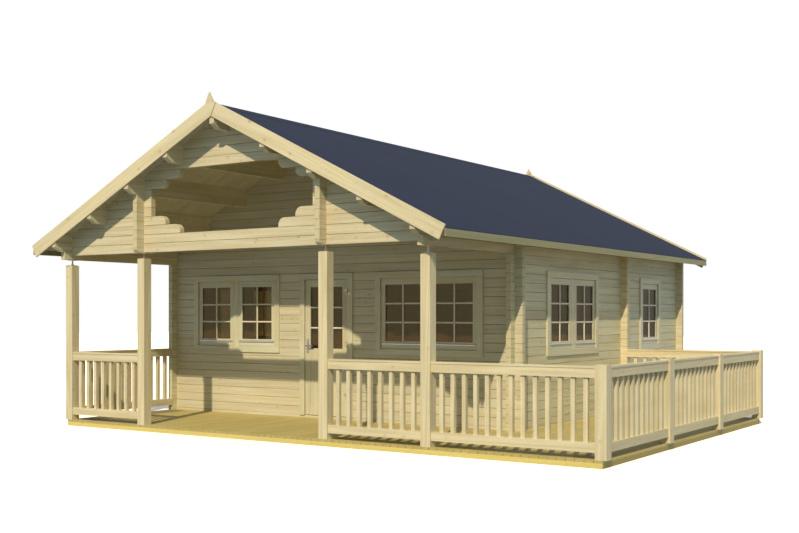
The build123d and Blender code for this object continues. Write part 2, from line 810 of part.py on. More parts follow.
def main():
    os.makedirs("parts", exist_ok=True)
    make_floor()
    make_deck()
    make_front_wall()
    make_partition()
    make_rear_wall()
    make_side_walls()
    make_porch_gable()
    make_posts()
    make_balustrade()
    make_roof()
    make_barge_boards()
    make_windows()
    make_door_frame()
    make_door()
    make_hinges()
    make_handle()


main()
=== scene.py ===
"""Looks of the log cabin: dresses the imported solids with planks, glazing bars and finishes, and
sets up the studio. It is laid out as an add-on and run as a script."""

from math import atan, cos, pi, radians, sin

import bmesh
import bpy
from mathutils import Matrix, Vector


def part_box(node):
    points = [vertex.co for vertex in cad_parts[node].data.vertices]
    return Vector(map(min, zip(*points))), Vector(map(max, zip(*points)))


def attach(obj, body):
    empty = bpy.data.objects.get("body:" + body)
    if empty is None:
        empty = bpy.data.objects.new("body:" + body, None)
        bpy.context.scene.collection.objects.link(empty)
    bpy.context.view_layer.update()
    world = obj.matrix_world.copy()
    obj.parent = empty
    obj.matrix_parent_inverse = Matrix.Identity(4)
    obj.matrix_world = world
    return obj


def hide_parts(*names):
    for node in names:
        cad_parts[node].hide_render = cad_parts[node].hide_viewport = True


bl_info = {
    "name": "Log Cabin Looks",
    "version": (1, 0, 0),
    "blender": (4, 5, 0),
    "location": "View3D > Sidebar > Cabin",
    "description": "Planks, glazing bars, trims, finishes and studio for a packed log cabin",
    "category": "Object",
}

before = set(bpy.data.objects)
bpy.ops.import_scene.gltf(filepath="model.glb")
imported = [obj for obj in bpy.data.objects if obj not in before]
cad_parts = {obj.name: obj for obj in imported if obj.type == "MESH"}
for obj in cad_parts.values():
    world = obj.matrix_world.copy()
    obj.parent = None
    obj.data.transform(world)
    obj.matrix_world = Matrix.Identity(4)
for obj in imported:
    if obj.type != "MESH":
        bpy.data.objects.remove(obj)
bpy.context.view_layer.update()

# The sill log is the first course, and the porch gable stands on the twentieth
COURSES_BETWEEN = 19
LOG_COURSE = (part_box("porch_gable")[0].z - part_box("front_sill_log")[1].z) / COURSES_BETWEEN
RIDGE_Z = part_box("roof_felt")[1].z
ROOF_SLOPE = 0.5

# Members of the solids that the grain and the trims follow, in metres
ROOF_BOARD = 0.096
FLOOR_BOARD = 0.113
BALUSTERS = (0.24, 0.862)
CASING = 0.080
SASH_FOOT_RAIL = 0.095
DOOR_FOOT_RAIL = 0.150
DOOR_MID_RAIL = 0.170


# ---------------------------------------------------------------- settings

class CabinTimber(bpy.types.PropertyGroup):
    """Colours and line widths of the timber."""
    pine: bpy.props.StringProperty(
        name="Pine", description="Planed spruce logs, as sRGB hex", default="E0D6B3")
    pine_deep: bpy.props.StringProperty(
        name="Pine grain", description="Darker grain of the same timber", default="C7B687")
    knot: bpy.props.StringProperty(
        name="Knot", description="Knots in the timber", default="9C7444")
    knot_patch: bpy.props.StringProperty(
        name="Knot patch", description="Warmer timber round a knot", default="C08A55")
    joint: bpy.props.StringProperty(
        name="Joint", description="Dark line between two logs or boards", default="6A5D3E")
    front_wall: bpy.props.StringProperty(
        name="Front wall", description="Logs of the wall behind the porch", default="CFCDB3")
    board: bpy.props.StringProperty(
        name="Boards and posts", description="Barge boards, posts and rails", default="E7DAB3")
    side_wall: bpy.props.StringProperty(
        name="Side walls", description="Logs of the left and right walls", default="D5D6B5")
    # Painted shade: a duller copy of the board colour for the balustrades that face sideways
    side_rail_shade: bpy.props.StringProperty(
        name="Side rails", description="Balustrades that run from front to rear",
        default="D8CFAB")
    ceiling: bpy.props.StringProperty(
        name="Ceiling", description="Roof boards seen from below", default="D2CBAF")
    ceiling_deep: bpy.props.StringProperty(
        name="Ceiling grain", description="Darker grain of the roof boards", default="C2B694")
    joinery: bpy.props.StringProperty(
        name="Joinery", description="Window and door timber", default="D0D3B8")
    bar: bpy.props.StringProperty(
        name="Bars", description="Glazing bars of windows and door", default="EBE3CB")
    bar_deep: bpy.props.StringProperty(
        name="Bar grain", description="Darker grain of the glazing bars", default="DDD2B0")
    deck: bpy.props.StringProperty(
        name="Deck", description="Pressure treated boards", default="C9B873")
    deck_deep: bpy.props.StringProperty(
        name="Deck grain", description="Darker grain of the treated boards", default="AE9C58")
    joist: bpy.props.StringProperty(
        name="Joist", description="Pressure treated joists", default="E2CE7E")
    joist_deep: bpy.props.StringProperty(
        name="Joist grain", description="Darker grain of the joists", default="D8C26A")
    # Painted shade for the joists' faces that look sideways
    joist_side_shade: bpy.props.StringProperty(
        name="Joist's side", description="Duller rim joist along the side", default="8C854A")
    # Painted shade: the two colours of the fascias are those of boards in shade, not of
    # weathering
    fascia_shade: bpy.props.StringProperty(
        name="Fascia", description="Weathered boards under the felt's edge", default="98966F")
    fascia_shade_deep: bpy.props.StringProperty(
        name="Fascia grain", description="Darker grain of the weathered boards",
        default="84825A")
    seam: bpy.props.StringProperty(
        name="Seam", description="Shade in the gap where two boards meet", default="3E3118")
    joint_width: bpy.props.FloatProperty(
        name="Joint width", description="Width of the dark line at a joint",
        default=0.006, unit="LENGTH")


class CabinTrims(bpy.types.PropertyGroup):
    """Colours of felt, glass and metal."""
    felt: bpy.props.StringProperty(
        name="Felt", description="Mineral-faced roofing felt, as sRGB hex", default="2A3144")
    glass: bpy.props.StringProperty(
        name="Glass", description="Brown of the rooms behind the panes", default="8E8160")
    strip: bpy.props.StringProperty(
        name="Drip strip", description="Anodised aluminium", default="B5B9B8")
    strip_pale: bpy.props.StringProperty(
        name="Drip strip, pale", description="Paler places on the aluminium", default="C7CBC8")
    steel: bpy.props.StringProperty(
        name="Steel", description="Satin stainless steel", default="9A9A9E")
    steel_pale: bpy.props.StringProperty(
        name="Steel, pale", description="Paler brush marks on the steel", default="B8B8BC")
    zinc: bpy.props.StringProperty(
        name="Zinc", description="Galvanised post feet", default="8B8473")
    zinc_pale: bpy.props.StringProperty(
        name="Zinc, pale", description="Paler spangles on the post feet", default="A59D89")
    hinge: bpy.props.StringProperty(
        name="Hinge", description="Zinc passivated yellow", default="B5AA82")
    hinge_pale: bpy.props.StringProperty(
        name="Hinge, pale", description="Paler spangles on the hinges", default="C6BC98")


class CabinDeck(bpy.types.PropertyGroup):
    """Sizes of the deck boards."""
    pitch: bpy.props.FloatProperty(
        name="Board pitch", description="Distance between two deck boards' middles",
        default=0.098, unit="LENGTH")
    gap: bpy.props.FloatProperty(
        name="Gap", description="Gap between two deck boards", default=0.006, unit="LENGTH")
    round_edge: bpy.props.FloatProperty(
        name="Edge", description="Rounding of the boards' long edges",
        default=0.003, unit="LENGTH")


class CabinWindows(bpy.types.PropertyGroup):
    """Sizes of what is fixed on windows and the door."""
    bar_width: bpy.props.FloatProperty(
        name="Bar width", description="Width of a glazing bar", default=0.021, unit="LENGTH")
    bar_thick: bpy.props.FloatProperty(
        name="Bar depth", description="How far a bar stands off the glass",
        default=0.012, unit="LENGTH")
    rebate: bpy.props.FloatProperty(
        name="Rebate", description="How far the glass lies behind its sash",
        default=0.010, unit="LENGTH")
    drip_depth: bpy.props.FloatProperty(
        name="Drip depth", description="How far the metal drip strip stands out",
        default=0.014, unit="LENGTH")
    drip_height: bpy.props.FloatProperty(
        name="Drip height", description="Height of the metal drip strip",
        default=0.022, unit="LENGTH")
    panel_board: bpy.props.FloatProperty(
        name="Panel board", description="Width of the boards in the door's lower panel",
        default=0.067, unit="LENGTH")


class CabinStudio(bpy.types.PropertyGroup):
    """Camera and light."""
    camera_place: bpy.props.FloatVectorProperty(
        name="Camera", description="Where the camera stands", default=(9.0, -14.643, 1.467),
        size=3, subtype="TRANSLATION", unit="LENGTH")
    camera_turn: bpy.props.FloatProperty(
        name="Turn", description="The camera's turn about the vertical",
        default=radians(33.52), subtype="ANGLE")
    camera_rise: bpy.props.FloatProperty(
        name="Vertical shift", description="How far the level camera's picture is raised",
        default=0.0604)
    lens: bpy.props.FloatProperty(
        name="Lens", description="Focal length", default=50.0)
    sun_way: bpy.props.FloatVectorProperty(
        name="Sun", description="Direction in which the sunlight travels",
        default=(-0.37, 1.0, -0.87), size=3, subtype="DIRECTION")
    sun_strength: bpy.props.FloatProperty(
        name="Sun strength", description="Strength of the sun lamp", default=3.45)
    sun_colour: bpy.props.StringProperty(
        name="Sun colour", description="Colour of the sunlight, as sRGB hex", default="FFF0D8")
    sky: bpy.props.StringProperty(
        name="Sky", description="Colour of the light from all round", default="97ABBC")
    floor_glow: bpy.props.StringProperty(
        name="Floor glow", description="Floor colour that lights the part from below",
        default="6F838D")


# ---------------------------------------------------------------- modelling helpers

def deselect():
    if bpy.context.object and bpy.context.object.mode != "OBJECT":
        bpy.ops.object.mode_set(mode="OBJECT")
    bpy.ops.object.select_all(action="DESELECT")


def block(low, high):
    """A cube primitive made at its size and place, between two corners."""
    low, high = Vector(low), Vector(high)
    deselect()
    bpy.ops.mesh.primitive_cube_add(size=1, location=(low + high) / 2, scale=high - low)
    bpy.ops.object.transform_apply(location=True, rotation=True, scale=True)
    return bpy.context.object


def edit(piece, kind, wanted):
    """Opens a piece in edit mode, with the edges or vertices selected that the test picks."""
    deselect()
    piece.select_set(True)
    bpy.context.view_layer.objects.active = piece
    bpy.ops.object.mode_set(mode="EDIT")
    bpy.ops.mesh.select_mode(type=kind)
    bpy.ops.mesh.select_all(action="DESELECT")
    mesh = bmesh.from_edit_mesh(piece.data)
    for item in mesh.edges if kind == "EDGE" else mesh.verts:
        item.select_set(wanted(item))
    bmesh.update_edit_mesh(piece.data)


def lower(piece, wanted, drop):
    """Moves the vertices that the test picks straight down."""
    edit(piece, "VERT", wanted)
    bpy.ops.transform.translate(value=(0, 0, -drop))
    bpy.ops.object.mode_set(mode="OBJECT")


def bevel_edges(piece, wanted, width):
    """Bevels the edges that the test picks."""
    edit(piece, "EDGE", wanted)
    bpy.ops.mesh.bevel(offset=width, segments=1, affect="EDGES")
    bpy.ops.object.mode_set(mode="OBJECT")


def runs_along(edge, axis):
    way = (edge.verts[1].co - edge.verts[0].co).normalized()
    return abs(way[axis]) > 0.99


def copy_to(piece, matrix):
    """A copy with its own mesh, moved by a matrix."""
    twin = piece.copy()
    twin.data = piece.data.copy()
    twin.data.transform(matrix)
    bpy.context.scene.collection.objects.link(twin)
    return twin


def join(pieces, name):
    deselect()
    for piece in pieces:
        piece.select_set(True)
    bpy.context.view_layer.objects.active = pieces[0]
    bpy.ops.object.join()
    pieces[0].name = name
    pieces[0].data.name = name
    return pieces[0]


def fit(piece, body, slot, material, *stands_for):
    """Gives a finished piece its material and body, and hides what it stands for. slot is not
    used.
    """
    piece.data.materials.clear()
    piece.data.materials.append(material)
    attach(piece, body)
    if stands_for:
        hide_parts(*stands_for)


def solids_of(node):
    """Boxes of the separate solids in a CAD node, as (lowest corner, highest corner)."""
    mesh = bmesh.new()
    mesh.from_mesh(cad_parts[node].data)
    bmesh.ops.remove_doubles(mesh, verts=mesh.verts, dist=1e-5)
    boxes, seen = [], set()
    for start in mesh.verts:
        if start in seen:
            continue
        heap, found = [start], []
        seen.add(start)
        while heap:
            vert = heap.pop()
            found.append(vert.co.copy())
            for edge in vert.link_edges:
                other = edge.other_vert(vert)
                if other not in seen:
                    seen.add(other)
                    heap.append(other)
        boxes.append((Vector(min(co[i] for co in found) for i in range(3)),
                      Vector(max(co[i] for co in found) for i in range(3))))
    mesh.free()
    return boxes


# ---------------------------------------------------------------- material helpers

def linear(code):
    """An sRGB hex value as a linear colour."""
    channels = [int(code[i:i + 2], 16) / 255 for i in (0, 2, 4)]
    return [c / 12.92 if c <= 0.04045 else ((c + 0.055) / 1.055) ** 2.4 for c in channels] + [1.0]


def add(tree, kind, inputs=None, **options):
    """Adds a node with its settings, and sets or links its inputs."""
    made = tree.nodes.new(kind)
    for name, value in options.items():
        setattr(made, name, value)
    for key, value in (inputs or {}).items():
        if isinstance(value, bpy.types.NodeSocket):
            tree.links.new(value, made.inputs[key])
        else:
            made.inputs[key].default_value = value
    return made


def new_material(name):
    material = bpy.data.materials.new(name)
    material.use_nodes = True
    material.node_tree.nodes.clear()
    return material, material.node_tree


def close_material(tree, shader):
    add(tree, "ShaderNodeOutputMaterial", {"Surface": shader.outputs[0]})


def principled(tree, inputs):
    """Closes a material with one shader."""
    close_material(tree, add(tree, "ShaderNodeBsdfPrincipled", inputs))


def bump(tree, height, strength, distance):
    return add(tree, "ShaderNodeBump", {"Height": height, "Strength": strength,
                                        "Distance": distance}).outputs[0]


def object_place(tree):
    return add(tree, "ShaderNodeTexCoord").outputs["Object"]


def parts(tree, vector):
    """The X, Y and Z of a vector."""
    return add(tree, "ShaderNodeSeparateXYZ", {0: vector}).outputs


def calc(tree, operation, *values):
    return add(tree, "ShaderNodeMath", dict(enumerate(values)), operation=operation).outputs[0]


def vector_calc(tree, operation, *vectors):
    return add(tree, "ShaderNodeVectorMath", dict(enumerate(vectors)),
               operation=operation).outputs[0]


def scaled(tree, vector, factor):
    return add(tree, "ShaderNodeVectorMath", {0: vector, "Scale": factor},
               operation="SCALE").outputs[0]


def remap(tree, value, start, end, low, high, ease="LINEAR"):
    """A value that runs from start to end, made to run from low to high."""
    return add(tree, "ShaderNodeMapRange",
               {"Value": value, "From Min": start, "From Max": end, "To Min": low,
                "To Max": high}, interpolation_type=ease).outputs[0]


def mix(tree, share, a, b, kind="RGBA"):
    """Two colours, or two numbers if the kind is FLOAT, with a share of the second."""
    return add(tree, "ShaderNodeMix", {"Factor": share, "A": a, "B": b},
               data_type=kind).outputs["Result"]


def noise(tree, place, scale, detail=2.0, roughness=0.5, distortion=0.0):
    return add(tree, "ShaderNodeTexNoise",
               {"Vector": place, "Scale": scale, "Detail": detail, "Roughness": roughness,
                "Distortion": distortion}).outputs["Fac"]


def down_the_roof(tree, place):
    """Coordinates whose X runs down both slopes of the roof, square to its thickness."""
    x, y, z = parts(tree, place)
    folded = add(tree, "ShaderNodeCombineXYZ", {0: calc(tree, "ABSOLUTE", x), 1: y, 2: z})
    return add(tree, "ShaderNodeMapping",
               {0: folded.outputs[0], "Rotation": (0, -atan(ROOF_SLOPE), 0)}).outputs[0]


def stretched(tree, place, axis, along, across, seed=0.0):
    """Coordinates in units of a pattern that is so long and so wide, in metres."""
    scale = [1 / across] * 3
    scale[axis] = 1 / along
    return add(tree, "ShaderNodeMapping",
               {0: place, "Scale": scale, "Location": (seed, seed, seed)}).outputs[0]


def long_noise(tree, place, axis, along, across, seed=0.0, **settings):
    """Noise in patches that are so long and so wide, in metres."""
    return noise(tree, stretched(tree, place, axis, along, across, seed), 1.0, **settings)


# ---------------------------------------------------------------- timber

def separate_courses(tree, place, joint):
    """Cuts the pattern at every joint. Returns the place counted in logs or boards, a chance
    value for each of them, and coordinates as if every log were cut from another tree."""
    across, pitch, offset = joint
    trees_apart = 40.0
    course = calc(tree, "MULTIPLY_ADD", parts(tree, place)[across], 1 / pitch, -offset / pitch)
    chance = add(tree, "ShaderNodeTexWhiteNoise", {"W": calc(tree, "FLOOR", course)},
                 noise_dimensions="1D").outputs
    moved = vector_calc(tree, "ADD", place, scaled(tree, chance["Color"], trees_apart))
    return course, chance["Value"], moved


def growth_rings(tree, place, axis, depth):
    """Arches 15 to 30 mm apart and up to three metres long, over fibres 4 mm wide. depth is the
    arches' share."""
    rings = long_noise(tree, place, axis, 3.0, 0.14, detail=1.0, distortion=0.12)
    arches = calc(tree, "PINGPONG", calc(tree, "MULTIPLY", rings, 12.0), 1.0)
    fibres = long_noise(tree, place, axis, 0.30, 0.004, seed=5.0)
    return mix(tree, 1 - depth, arches, fibres, "FLOAT")


def uneven_tone(tree, place, axis, own):
    """How much lighter or darker each place is, with a tone of its own for every log."""
    # Slow change along the timber, over half a metre to two metres
    patches = long_noise(tree, place, axis, 1.5, 0.20, seed=7.0)
    # Torn fibres are a millimetre wide, drawn 12 mm wide to show at all
    torn = long_noise(tree, place, axis, 0.035, 0.012, seed=17.0, detail=3.0, roughness=0.7)
    shift = calc(tree, "MULTIPLY", remap(tree, patches, 0.3, 0.7, 0.92, 1.06),
                 remap(tree, torn, 0.3, 0.7, 0.94, 1.05))
    if own is not None:
        shift = calc(tree, "MULTIPLY", shift, remap(tree, own, 0.0, 1.0, 0.95, 1.04))
    return shift


def with_knots(tree, colour, place, axis, strength):
    """Knots 15 to 30 mm across, each in a wider patch of warmer timber."""
    look = bpy.context.scene.cabin_timber
    cells = add(tree, "ShaderNodeTexVoronoi",
                {"Vector": stretched(tree, place, axis, 0.19, 0.12, seed=3.0),
                 "Scale": 1.0}).outputs["Distance"]
    for reach, depth, tint in ((0.26, 0.45, look.knot_patch), (0.13, 0.9, look.knot)):
        spot = remap(tree, cells, reach * 0.25, reach, strength * depth, 0.0, "SMOOTHSTEP")
        colour = mix(tree, spot, colour, linear(tint))
    return colour


def with_end_grain_or_shade(tree, colour, normal, axis, strength, tint):
    """Sawn ends drink more wet than planed faces, so they are duller. Given a shade colour as its
    tint, the same faces take painted shade instead.
    """
    facing = calc(tree, "ABSOLUTE", parts(tree, normal)[axis])
    return mix(tree, remap(tree, facing, 0.8, 0.95, 0.0, strength), colour, linear(tint))


def with_seam(tree, colour, run, start):
    """A shaded gap 10 mm wide where a board butts against another."""
    shade = linear(bpy.context.scene.cabin_timber.seam)
    return mix(tree, remap(tree, run, start + 0.006, start + 0.014, 0.9, 0.0), colour, shade)


def with_painted_shade_strip(tree, colour, place, low, high):
    """Painted shade: timber half as bright between two corners in plan, fading out over 50 mm."""
    middle, half = (low + high) / 2, (high - low) / 2
    away = vector_calc(tree, "ABSOLUTE", vector_calc(tree, "SUBTRACT", place, (*middle, 0)))
    past = parts(tree, vector_calc(tree, "SUBTRACT", away, (*half, 0)))
    worst = calc(tree, "MAXIMUM", past[0], past[1])
    return scaled(tree, colour, remap(tree, worst, -0.02, 0.03, 0.5, 1.0, "SMOOTHSTEP"))


def joint_lines(tree, place, axis, course, pitch, line):
    """How dark the joint is at each place, and how much of that shows. The line fades in and out
    along the timber, where the logs close up."""
    half = bpy.context.scene.cabin_timber.joint_width / 2 / pitch
    dark = remap(tree, calc(tree, "PINGPONG", course, 0.5), half * 0.6, half * 1.3, 1.0, 0.0,
                 "SMOOTHSTEP")
    broken = long_noise(tree, place, axis, 0.5, 0.11, seed=11.0, detail=1.0)
    strength = remap(tree, broken, 0.38, 0.58, line * 0.35, line)
    return dark, calc(tree, "MULTIPLY", dark, strength)


def timber(name, pale, deep, grain, joint=None, line=0.85, knots=0.35, upright=None, slope=False,
           ends=0.4, end_or_shade_tint=None, rough=0.62, figure_depth=0.5, seam=None, shade_strips=()):
    """Planed softwood: nested arches of growth rings, fine fibres, soft brown knots, duller end
    grain, and a tone of its own for every log or board.

    grain is the axis that it runs along, and upright a band of Z in which the grain stands
    upright. joint is the (axis, pitch, offset) of the joints, and line how strongly they are
    drawn. knots is how strongly knots show, and ends how strongly faces across the grain take
    end_or_shade_tint: duller end grain, or painted shade where that tint is a shade colour.
    figure_depth is the share of the arches in the figure. slope turns the grain down both sides
    of the roof, and seam is the place along it of a dark gap, from which the board runs on.
    shade_strips lists strips of painted shade, by two corners in plan."""
    look = bpy.context.scene.cabin_timber
    axis = "XYZ".index(grain)
    material, tree = new_material(name)
    coords = add(tree, "ShaderNodeTexCoord").outputs
    place = down_the_roof(tree, coords["Object"]) if slope else coords["Object"]
    run = parts(tree, place)[axis]
    course = own = None
    if joint:
        course, own, place = separate_courses(tree, place, joint)

    tone = growth_rings(tree, place, axis, figure_depth)
    if upright:
        height = parts(tree, coords["Object"])[2]
        inside = calc(tree, "MULTIPLY", calc(tree, "GREATER_THAN", height, upright[0]),
                      calc(tree, "LESS_THAN", height, upright[1]))
        tone = mix(tree, inside, tone, growth_rings(tree, place, 2, figure_depth), "FLOAT")

    colour = mix(tree, tone, linear(pale), linear(deep))
    colour = scaled(tree, colour, uneven_tone(tree, place, axis, own))
    if knots:
        colour = with_knots(tree, colour, place, axis, knots)
    if ends:
        colour = with_end_grain_or_shade(tree, colour, coords["Normal"], axis, ends, end_or_shade_tint or deep)
    if seam is not None:
        colour = with_seam(tree, colour, run, seam)
    for low, high in shade_strips:
        colour = with_painted_shade_strip(tree, colour, coords["Object"], low, high)

    relief = tone
    if joint and line:
        dark, drawn = joint_lines(tree, place, axis, course, joint[1], line)
        colour = mix(tree, drawn, colour, linear(look.joint))
        relief = calc(tree, "MULTIPLY_ADD", dark, -6.0, tone)
    principled(tree, {"Base Color": colour, "Roughness": rough,
                      "Normal": bump(tree, relief, 0.3, 0.0006)})
    return material


def finish_nodes(material, *names):
    """Puts a material in the CAD nodes' own slots."""
    for name in names:
        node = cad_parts[name]
        if not node.material_slots:
            node.data.materials.append(material)
        for slot in node.material_slots:
            slot.material = material


# ---------------------------------------------------------------- operators

class CABIN_OT_log_walls(bpy.types.Operator):
    """Finish the log walls: planed spruce with a line at every joint"""
    bl_idname = "cabin.log_walls"
    bl_label = "Log walls"

    def execute(self, context):
        look = context.scene.cabin_timber
        across = timber("planed_spruce_end_walls", look.pine, look.pine_deep, "X",
                        joint=(2, LOG_COURSE, 0.0), knots=0.42)
        # The deck throws warm light on this wall, so its own colour is a little duller
        front = timber("planed_spruce_front_wall", look.front_wall, look.pine_deep, "X",
                       joint=(2, LOG_COURSE, 0.0))
        along = timber("planed_spruce_side_walls", look.side_wall, look.pine_deep, "Y",
                       joint=(2, LOG_COURSE, LOG_COURSE / 2))
        crossing = timber("planed_spruce_cross_logs", look.pine, look.pine_deep, "Y",
                          joint=(2, LOG_COURSE, LOG_COURSE / 2))
        finish_nodes(across, "partition_left", "partition_right", "partition_gable",
                     "rear_wall", "porch_gable")
        finish_nodes(front, "front_sill_log", "front_wall_left", "front_wall_right",
                     "front_wall_gable")
        finish_nodes(along, "left_wall", "right_wall")
        finish_nodes(crossing, "left_plate_logs", "right_plate_logs", "gable_cross_logs")
        return {"FINISHED"}


class CABIN_OT_roof_timber(bpy.types.Operator):
    """Finish purlins, roof boards, barge boards and fascias"""
    bl_idname = "cabin.roof_timber"
    bl_label = "Roof timber"

    def execute(self, context):
        look = context.scene.cabin_timber
        finish_nodes(timber("planed_spruce_purlins", look.pine, look.pine_deep, "Y"),
                     "purlins", "floor_bearers")
        finish_nodes(timber("matched_boards_roof", look.ceiling, look.ceiling_deep, "X",
                            joint=(1, ROOF_BOARD, 0.0), line=0.15, knots=0.15),
                     "roof_boards_left", "roof_boards_right")
        finish_nodes(timber("matched_boards_floor", look.pine, look.pine_deep, "Y",
                            joint=(0, FLOOR_BOARD, 0.0)), "floor_boards")
        finish_nodes(timber("planed_spruce_left_barge_boards", look.board, look.pine_deep, "X",
                            slope=True, knots=0.62, figure_depth=0.35), "left_barge_boards")
        # The right board ends at the seam, square to its own length, where a dark gap shows
        turn = atan(ROOF_SLOPE)
        start = min(vert.co.x * cos(turn) - vert.co.z * sin(turn)
                    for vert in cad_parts["right_barge_boards"].data.vertices)
        finish_nodes(timber("planed_spruce_right_barge_boards", look.board, look.pine_deep, "X",
                            slope=True, knots=0.62, figure_depth=0.35, seam=start),
                     "right_barge_boards")
        # Painted shade: the fascias take the dull grey-olive of boards in shade, darkest on their
        # ends
        finish_nodes(timber("spruce_fascias_painted_shade", look.fascia_shade, look.fascia_shade_deep, "Y",
                            ends=1, end_or_shade_tint=look.fascia_shade_deep), "eave_fascias")
        return {"FINISHED"}


class CABIN_OT_posts(bpy.types.Operator):
    """Finish the porch posts and the balustrade"""
    bl_idname = "cabin.posts"
    bl_label = "Posts and balustrade"

    def execute(self, context):
        look = context.scene.cabin_timber
        finish_nodes(timber("planed_spruce_posts", look.board, look.pine_deep, "Z",
                            knots=0.3),
                     "porch_posts", "railing_posts")
        finish_nodes(timber("planed_spruce_rails_across", look.board, look.pine_deep, "X",
                            upright=BALUSTERS, knots=0.3, ends=0),
                     "railing_front_left", "railing_front_right", "railing_front_corner",
                     "railing_rear")
        # Painted shade: the balustrades that face sideways take a duller copy of the board colour
        finish_nodes(timber("planed_spruce_rails_along", look.side_rail_shade, look.pine_deep, "Y",
                            upright=BALUSTERS, knots=0.3, ends=0),
                     "railing_side_bays", "railing_left")
        return {"FINISHED"}


class CABIN_OT_deck(bpy.types.Operator):
    """Lay the deck boards on their joists, one by one"""
    bl_idname = "cabin.deck"
    bl_label = "Deck boards"

    # Metres: air round a log end, the narrowest piece worth laying, and the strips of painted
    # shade behind the rails
    log_gap = 0.005
    sliver = 0.004
    shade_under_rail = 0.02
    shade_reach = 0.30

    def execute(self, context):
        look = context.scene.cabin_timber
        deck = context.scene.cabin_deck
        low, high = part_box("deck_boards")
        wall_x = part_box("right_wall")[1].x
        side_x = (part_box("right_wall")[0].x + wall_x) / 2
        half_log = wall_x - side_x
        gap = self.log_gap
        wall_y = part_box("front_sill_log")[0].y - gap
        stub_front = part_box("right_wall")[0].y - gap
        end_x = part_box("front_sill_log")[1].x + gap
        reach = half_log + gap
        kept_out = [(s * side_x - reach, s * side_x + reach, stub_front, wall_y)
                    for s in (-1, 1)]
        for name in ("front_sill_log", "partition_right"):
            y0, y1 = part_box(name)[0].y - gap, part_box(name)[1].y + gap
            kept_out.append((wall_x, end_x, y0, y1))
        # None under the rooms
        beyond = 1
        kept_out.append((low.x - beyond, wall_x + gap, wall_y, high.y + beyond))
        board = block((0, 0, 0), (deck.pitch - deck.gap, 1, high.z - low.z))
        bevel_edges(board, lambda e: runs_along(e, 1), deck.round_edge)
        boards = []
        count = round((high.x - low.x + deck.gap) / deck.pitch)
        pitch = (high.x - low.x + deck.gap) / count
        for i in range(count):
            x0 = low.x + i * pitch
            x1 = x0 + pitch - deck.gap
            for a, b, c, d in self.left_over(x0, x1, low.y, high.y, kept_out):
                size = Matrix.Diagonal(((b - a) / (deck.pitch - deck.gap), d - c, 1, 1))
                boards.append(copy_to(board, Matrix.Translation((a, c, low.z)) @ size))
        bpy.data.objects.remove(board)
        planks = join(boards, "deck_planks")
        # The deck boards take painted shade in strips behind the bottom rails
        fit(planks, "cabin", "impregnated_pine",
            timber("pressure_treated_pine_deck", look.deck, look.deck_deep, "Y",
                   joint=(0, pitch, low.x - deck.gap / 2), line=0, knots=0.25,
                   shade_strips=self.strips_inside_rails()), "deck_boards")
        # Painted shade: faces that look along X, the rim joist along the side among them, take a
        # dark tint, as if the deck boards' edge shaded them
        finish_nodes(timber("pressure_treated_pine_joists", look.joist, look.joist_deep, "X",
                            knots=0.25, ends=0.9, end_or_shade_tint=look.joist_side_shade), "deck_joists")
        return {"FINISHED"}

    def strips_inside_rails(self):
        """Strips of the deck behind the bottom rails, as pairs of corners in plan, which take
        painted shade."""
        strips = []
        for name, axis, inward in (("railing_front_left", 1, 1), ("railing_front_right", 1, 1),
                                   ("railing_front_corner", 1, 1), ("railing_side_bays", 0, -1),
                                   ("railing_rear", 1, -1), ("railing_left", 0, 1)):
            low, high = (corner.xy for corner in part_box(name))
            face = high[axis] if inward > 0 else low[axis]
            low[axis], high[axis] = sorted((face - inward * self.shade_under_rail,
                                            face + inward * self.shade_reach))
            strips.append((low, high))
        return strips

    def left_over(self, x0, x1, y0, y1, kept_out):
        """What is left of a board where it is sawn round the log ends."""
        pieces = [(x0, x1, y0, y1)]
        for ax, bx, ay, by in kept_out:
            rest = []
            for a, b, c, d in pieces:
                if b <= ax or a >= bx or d <= ay or c >= by:
                    rest.append((a, b, c, d))
                    continue
                m0, m1 = max(a, ax), min(b, bx)
                around = ((m0 - a, (a, m0, c, d)), (b - m1, (m1, b, c, d)),
                          (ay - c, (m0, m1, c, ay)), (d - by, (m0, m1, by, d)))
                rest += [piece for size, piece in around if size > self.sliver]
            pieces = rest
        return pieces


def glazing_bars(glass, outward, across, name):
    """A sash's bars on the weather side of its glass: one upright, the others level. outward is
    the side, +1 or -1, of the glass's thin axis, and across its long level axis."""
    look = bpy.context.scene.cabin_windows
    sunk, chamfer, rows = 0.001, 0.005, 3
    low, high = glass
    thin = 1 - across
    face = high[thin] if outward > 0 else low[thin]
    edges = sorted((face - outward * sunk, face + outward * look.bar_thick))

    def bar(from_across, to_across, from_z, to_z):
        a, b = Vector((0, 0, from_z)), Vector((0, 0, to_z))
        a[across], b[across] = from_across, to_across
        a[thin], b[thin] = edges
        made = block(a, b)
        along = 2 if to_z - from_z > to_across - from_across else across
        front = edges[1] if outward > 0 else edges[0]
        bevel_edges(made, lambda e: runs_along(e, along)
                    and abs(e.verts[0].co[thin] - front) < 1e-5, chamfer)
        return made

    left, right = low[across] + look.rebate, high[across] - look.rebate
    foot, head = low.z + look.rebate, high.z - look.rebate
    half = look.bar_width / 2
    middle = (left + right) / 2
    bars = [bar(middle - half, middle + half, foot, head)]
    for i in range(1, rows):
        z = foot + (head - foot) * i / rows
        bars.append(bar(left, right, z - half, z + half))
    return join(bars, name)


